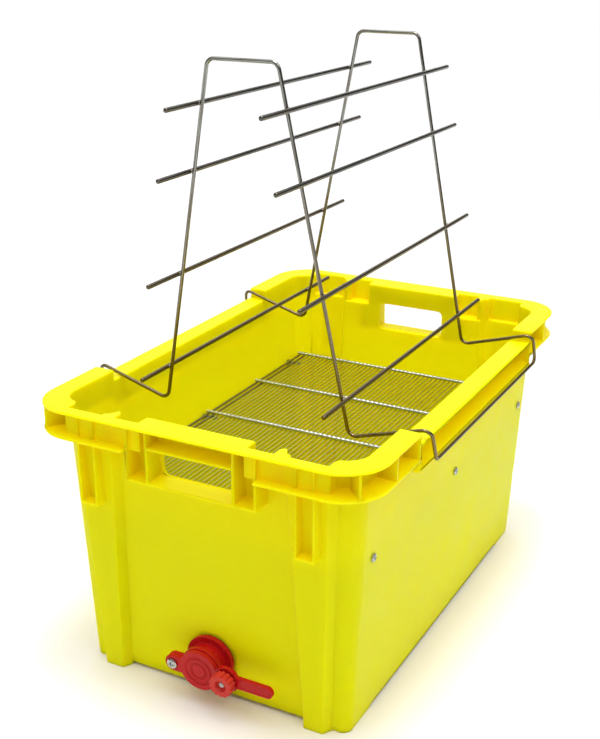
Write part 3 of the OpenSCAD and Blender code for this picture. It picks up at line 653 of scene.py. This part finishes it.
def clamp_bolt_shape(radius, flats, seat, end, head):
    """Hexagon bolt: a hexagon head below its seat, then a threaded shank that ends in a low
    dome."""
    thread_pitch, dome_rise = 0.001, 0.0008
    angle = round_angles(72)
    corner, washer_face, cut = hexagon(flats, angle)
    head_rings = [(0.3 * washer_face, seat - head), (washer_face, seat - head),
                  (corner, seat - head + cut), (corner, seat), (radius, seat)]
    climb = np.linspace(seat + 0.0001, end - dome_rise, 120)[:, None]
    root = 0.09 * (1 - rolled_thread(angle, climb, thread_pitch))
    shank = turned(radius * (0.995 - root), climb, angle)
    lift = np.linspace(0.05, 1.45, 9)[:, None]
    dome = turned(0.88 * radius * np.cos(lift), end - dome_rise + dome_rise * np.sin(lift), angle)
    rings = [turned(r, z, angle) for r, z in head_rings] + [shank, dome]
    return ring_grid(np.concatenate(rings))


bolt_shape = clamp_bolt_shape(radius=0.003, flats=0.01, seat=0.01898, end=0.0394, head=0.004)
mesh_piece("blade_clamp_bolt", [at_gate(bolt_shape, clamp_across)], zinc_plate,
           "base", ["clamp_bolt"])
washer_shape = rounded_ring(inner=0.00305, outer=0.009, low=0.0296, high=0.0311,
                            corner=0.0003, around=72)
mesh_piece("blade_clamp_washer", [at_gate(washer_shape, clamp_across)], zinc_plate,
           "clamp", ["clamp_washer"])


def fluted_knob(radius, height, low, bore, hollow_radius, hollow_depth, flutes, flute_depth):
    """Fluted knob: rings from the bore's foot, out and up its ribbed side, over the face and down
    into the hollow. On the side the radius dips by a power of a cosine round the knob, so that
    wide ribs stand between grooves; each ring's third number is its share of that dip."""
    angle = round_angles(18 * flutes)
    groove = (0.5 + 0.5 * np.cos(flutes * angle)) ** 2.5
    top, hollow_floor = low + height, low + height - hollow_depth
    bead, edge, lip = 0.0008, 0.0005, 0.0003
    lift = np.linspace(0, np.pi / 2, 6)
    outline = [(bore, low, 0.0), (radius - 2.4 * bead, low, 0.4)]
    outline += [(radius - bead + bead * np.sin(a), low + bead - bead * np.cos(a),
                 0.75 + 0.25 * np.sin(a)) for a in lift]
    outline += [(radius, low + share * height, 1.0) for share in (0.3, 0.5, 0.7)]
    outline += [(radius - bead + bead * np.cos(a), top - bead + bead * np.sin(a),
                 0.7 + 0.3 * np.cos(a)) for a in lift]
    outline += [(radius - 2.2 * bead, top, 0.35), (radius - 3.6 * bead, top, 0.0),
                (hollow_radius + edge, top, 0.0), (hollow_radius, top - edge, 0.0),
                (hollow_radius - lip, hollow_floor + edge, 0.0),
                (hollow_radius - bead, hollow_floor, 0.0), (bore + lip, hollow_floor, 0.0),
                (bore, hollow_floor - lip, 0.0), (bore, low, 0.0)]
    rings = [turned(r - share * flute_depth * groove, z, angle) for r, z, share in outline]
    points, faces = ring_grid(np.concatenate(rings))
    return points, faces[:-2]


knob_shape = fluted_knob(radius=0.0135, height=0.010, low=0.0314, bore=0.00305,
                         hollow_radius=0.0065, hollow_depth=0.004, flutes=14, flute_depth=0.0016)
mesh_piece("blade_clamp_knob", [at_gate(knob_shape, clamp_across)], knob_plastic,
           "knob", ["clamp_knob"])


# COMB STAND
# One length of 4 mm drawn stainless wire, bent by hand over formers: from the left front tail
# over the front arch, along the outside of the right rim and back over the rear arch. Eight
# straight rods are spot-welded to its legs. Near the tub the wire is painted brown, a painted
# reflection of the yellow tub.

stand_radius, stand_spacing, stand_sides = 0.002, 0.006, 16
rim_height, rim_clear = 0.308, 0.0003
rim_inside = side_wall_top - (tub_height - rim_height) * lean - wall_thickness
foot_across, foot_height, top_across, top_height = 0.1125, 0.292, 0.0392, 0.669
hook_out, bar_height, bar_back, tail_height = 0.2036, 0.279, 0.017, 0.301
front_top, front_foot, back_arch = -0.175, -0.160, 0.168
hook_bend, arch_bend = 0.006, 0.009
stand_steel = (0.40, 0.40, 0.36, 1)
stand_steel_dark = (0.10, 0.10, 0.088, 1)
rod_steel = (0.19, 0.188, 0.17, 1)
rod_steel_dark = (0.05, 0.049, 0.044, 1)
heat_tint = (0.20, 0.15, 0.10, 1)
# Painted reflection: the brown that stands for the yellow tub mirrored in the low wire, and where
# it fades.
tub_reflection_brown = (0.19, 0.14, 0.055, 1)
reflection_low, reflection_high, reflection_waver, reflection_share, reflection_scale = 0.40, 0.60, 0.08, 0.9, 30
weld_steel = (0.34, 0.31, 0.28, 1)
weld_steel_dark = (0.16, 0.12, 0.09, 1)
weld_reach = (0.0014, 0.0026, 0.0026)
stand_roughness, rod_roughness, weld_roughness = 0.14, 0.18, 0.34


def bent_path(corners, radii, spacing):
    """Middle line of a bent wire: straight runs between corners, and at each corner a circular
    arc that touches both runs, sampled about once in every spacing."""
    corners = np.array(corners, float)
    pieces = [corners[:1]]
    for before, corner, after, radius in zip(corners[:-2], corners[1:-1], corners[2:], radii):
        back, ahead = before - corner, after - corner
        back, ahead = back / np.linalg.norm(back), ahead / np.linalg.norm(ahead)
        turn = math.acos(np.clip(-back @ ahead, -1, 1))
        middle_way = (back + ahead) / np.linalg.norm(back + ahead)
        centre = corner + middle_way * radius / math.cos(turn / 2)
        touch = corner + back * radius * math.tan(turn / 2) - centre
        swing = np.linspace(0, turn, 10)[:, None]
        pieces.append(centre + np.cos(swing) * touch - np.sin(swing) * radius * back)
    path = np.concatenate(pieces + [corners[-1:]])
    runs = np.linalg.norm(np.diff(path, axis=0), axis=1)
    along = np.concatenate([[0], np.cumsum(runs)])
    filled = [np.linspace(a, b, max(2, int((b - a) / spacing) + 1))[:-1]
              for a, b in zip(along[:-1], along[1:])]
    even = np.concatenate(filled + [along[-1:]])
    return np.stack([np.interp(even, along, path[:, axis]) for axis in range(3)], axis=-1)


foot_to_rim = math.hypot(rim_inside - foot_across, rim_height - foot_height)
hook_slope = (math.atan2(rim_height - foot_height, rim_inside - foot_across)
              + math.asin((stand_radius + rim_clear) / foot_to_rim))
hook_height = foot_height + (hook_out - foot_across) * math.tan(hook_slope)
stand_corners = [
    (-hook_out, front_foot, tail_height), (-hook_out, front_foot, hook_height),
    (-foot_across, front_foot, foot_height), (-top_across, front_top, top_height),
    (top_across, front_top, top_height), (foot_across, front_foot, foot_height),
    (hook_out, front_foot, hook_height), (hook_out, front_foot + bar_back, bar_height),
    (hook_out, back_arch + bar_back, bar_height), (hook_out, back_arch, hook_height),
    (foot_across, back_arch, foot_height), (top_across, back_arch, top_height),
    (-top_across, back_arch, top_height), (-foot_across, back_arch, foot_height),
    (-hook_out, back_arch, hook_height), (-hook_out, back_arch, tail_height)]
stand_bends = [hook_bend] + 5 * [arch_bend] + 2 * [hook_bend] + 5 * [arch_bend] + [hook_bend]
stand_path = bent_path(stand_corners, stand_bends, stand_spacing)
stand_radii = np.full(len(stand_path), stand_radius)
stand_radii[[0, -1]] *= 0.75

# Painted reflection of the yellow tub: brown below a wavering height, fading out above it.
tub_reflection, tub_reflection_in, tub_reflection_out = shader_group("painted_tub_reflection", ["Place"], ["Stain"])
reflection_place = tub_reflection_in.outputs["Place"]
reflection_noise = noise(tub_reflection, reflection_place, reflection_scale, 3)
reflection_edge = combined(tub_reflection, "MULTIPLY", reflection_noise, reflection_waver)
reflection_level = combined(tub_reflection, "ADD", height_of(tub_reflection, reflection_place), reflection_edge)
tub_reflection.links.new(ramp(tub_reflection, reflection_level, reflection_low, reflection_high, reflection_share, 0),
                   tub_reflection_out.inputs["Stain"])


def tub_reflecting_wire(name, colour, dark_colour, roughness):
    """Drawn wire with a painted reflection of the yellow tub: clean high up and painted brown near
    the tub.
    """
    material = drawn_wire(name, colour, dark_colour, roughness, heat_tint)
    tree = material.node_tree
    place = tree.nodes["Texture Coordinate"].outputs["Object"]
    # Painted reflection of the tub: brown on the low wire.
    overlaid(material, placed(tree, tub_reflection, place)["Stain"], tub_reflection_brown)
    return material


stand_finish = tub_reflecting_wire("stand_wire", stand_steel, stand_steel_dark, stand_roughness)
rod_finish = tub_reflecting_wire("comb_rod_wire", rod_steel, rod_steel_dark, rod_roughness)
wire_piece("stand_bent_wire", [swept(stand_path, stand_radii, stand_sides)], stand_finish,
           "stand", ["stand_arch_front", "stand_side_bar", "stand_arch_back"])

comb_nodes = [f"comb_rod_{side}_{number}" for side in ("left", "right") for number in (1, 2, 3, 4)]
comb_axes = [node_axis(node, 1) for node in comb_nodes]
comb_rods = [straight_wire(*axis, stand_sides) for axis in comb_axes]
wire_piece("stand_comb_rods", comb_rods, rod_finish, "stand", comb_nodes)


def weld_bead(middle, reach):
    """Weld bead where a rod crosses a leg: a flattened ball, longest along the rod, with a
    slightly uneven skin."""
    angle = round_angles(20)
    lift = np.linspace(-1.5, 1.5, 13)[:, None]
    uneven = 1 + 0.06 * np.sin(3 * angle + 40 * middle[2]) * np.cos(lift)
    ball = turned(np.cos(lift) * uneven, np.sin(lift) * uneven, angle) * np.array(reach)
    points, faces = ring_grid(ball)
    return points + np.array(middle), faces


weld_beads = []
for rod_start, _, _ in comb_axes:
    rod_across, _, rod_height = rod_start
    rise = (rod_height - foot_height) / (top_height - foot_height)
    leg_across = foot_across + (top_across - foot_across) * rise
    weld_across = (math.copysign(leg_across, rod_across) + rod_across) / 2
    for leg_along in (front_foot + (front_top - front_foot) * rise, back_arch):
        weld_beads.append(weld_bead((weld_across, leg_along, rod_height), weld_reach))
weld_metal = plated_steel("weld_metal", weld_steel, weld_steel_dark, weld_roughness)
mesh_piece("stand_welds", weld_beads, weld_metal, "stand", [])


# STUDIO
# A pale seamless floor and backdrop in a room that is bright above and dim round the sides. A
# gridded box overhead lights the inside, a weak one stands at the front right, and a wide low one
# behind glints on the rim. The camera stands at the photograph's viewing angle.

floor_half, paper_scale = 60.0, 3
paper_white = (0.95, 0.95, 0.95, 1)
paper_grey = (0.93, 0.93, 0.93, 1)
room_dim = (0.08, 0.08, 0.08, 1)
room_bright = (1.68, 1.68, 1.68, 1)
backdrop_white = (1, 1, 1, 1)
dim_below, bright_above = 0.35, 0.85
photo_height, focal_pixels = 739, 1190.8
camera_place = (0.5992, -1.1836, 0.7953)
camera_aim = (-0.4391, 0.8258, -0.3538)

floor_mesh = bpy.data.meshes.new("studio_floor")
floor_mesh.from_pydata([(-floor_half, -floor_half, 0), (floor_half, -floor_half, 0),
                        (floor_half, floor_half, 0), (-floor_half, floor_half, 0)],
                       [], [(0, 1, 2, 3)])
floor = bpy.data.objects.new("studio_floor", floor_mesh)
bpy.context.scene.collection.objects.link(floor)
pale_paper, paper_tree, paper_shader, paper_place = new_finish("pale_paper")
paper_tint = ramp(paper_tree, noise(paper_tree, paper_place, paper_scale, 3), 0.3, 0.7)
paper_tree.links.new(blended(paper_tree, paper_tint, paper_grey, paper_white),
                     paper_shader.inputs["Base Color"])
paper_shader.inputs["Roughness"].default_value = 0.7
paper_shader.inputs["Specular IOR Level"].default_value = 0
floor_mesh.materials.append(pale_paper)

room = bpy.data.worlds.new("studio_room")
bpy.context.scene.world = room
room.use_nodes = True
room_tree = room.node_tree
room_ray = room_tree.nodes.new("ShaderNodeTexCoord").outputs["Generated"]
room_share = ramp(room_tree, height_of(room_tree, room_ray), dim_below, bright_above)
room_light = blended(room_tree, room_share, room_dim, room_bright)
straight_look = room_tree.nodes.new("ShaderNodeLightPath").outputs["Is Camera Ray"]
room_tree.links.new(blended(room_tree, straight_look, room_light, backdrop_white),
                    room_tree.nodes["Background"].inputs["Color"])
bpy.context.scene.view_settings.view_transform = "Standard"


def turned_to(direction):
    """Angles that turn a camera or a light to look along a direction."""
    return Vector(direction).to_track_quat("-Z", "Y").to_euler()


def soft_box(name, place, aim, size, power, spread):
    """A rectangular soft light at a place, turned towards an aim, whose grid lets out a cone of
    the spread."""
    light = bpy.data.lights.new(name, "AREA")
    light.shape = "RECTANGLE"
    light.size, light.size_y = size
    light.energy = power
    light.spread = math.radians(spread)
    lamp = bpy.data.objects.new(name, light)
    lamp.location = place
    lamp.rotation_euler = turned_to(Vector(aim) - Vector(place))
    bpy.context.scene.collection.objects.link(lamp)


soft_box("front_right_box", place=(1.25, -0.70, 1.94), aim=(0, 0, 0.2), size=(0.8, 0.8),
         power=3.5, spread=180)
soft_box("back_box", place=(-1.5, 2.9, 1.5), aim=(0, 0, 0.3), size=(3.0, 1.0),
         power=12, spread=180)
soft_box("overhead_box", place=(0.1, -0.1, 2.1), aim=(0, 0, 0.2), size=(0.5, 0.7),
         power=1.7, spread=44)

camera_data = bpy.data.cameras.new("photo_camera")
camera_data.sensor_fit = "VERTICAL"
camera_data.sensor_height = 36
camera_data.lens = focal_pixels * camera_data.sensor_height / photo_height
camera = bpy.data.objects.new("photo_camera", camera_data)
camera.location = camera_place
camera.rotation_euler = turned_to(camera_aim)
bpy.context.scene.collection.objects.link(camera)
bpy.context.scene.camera = camera
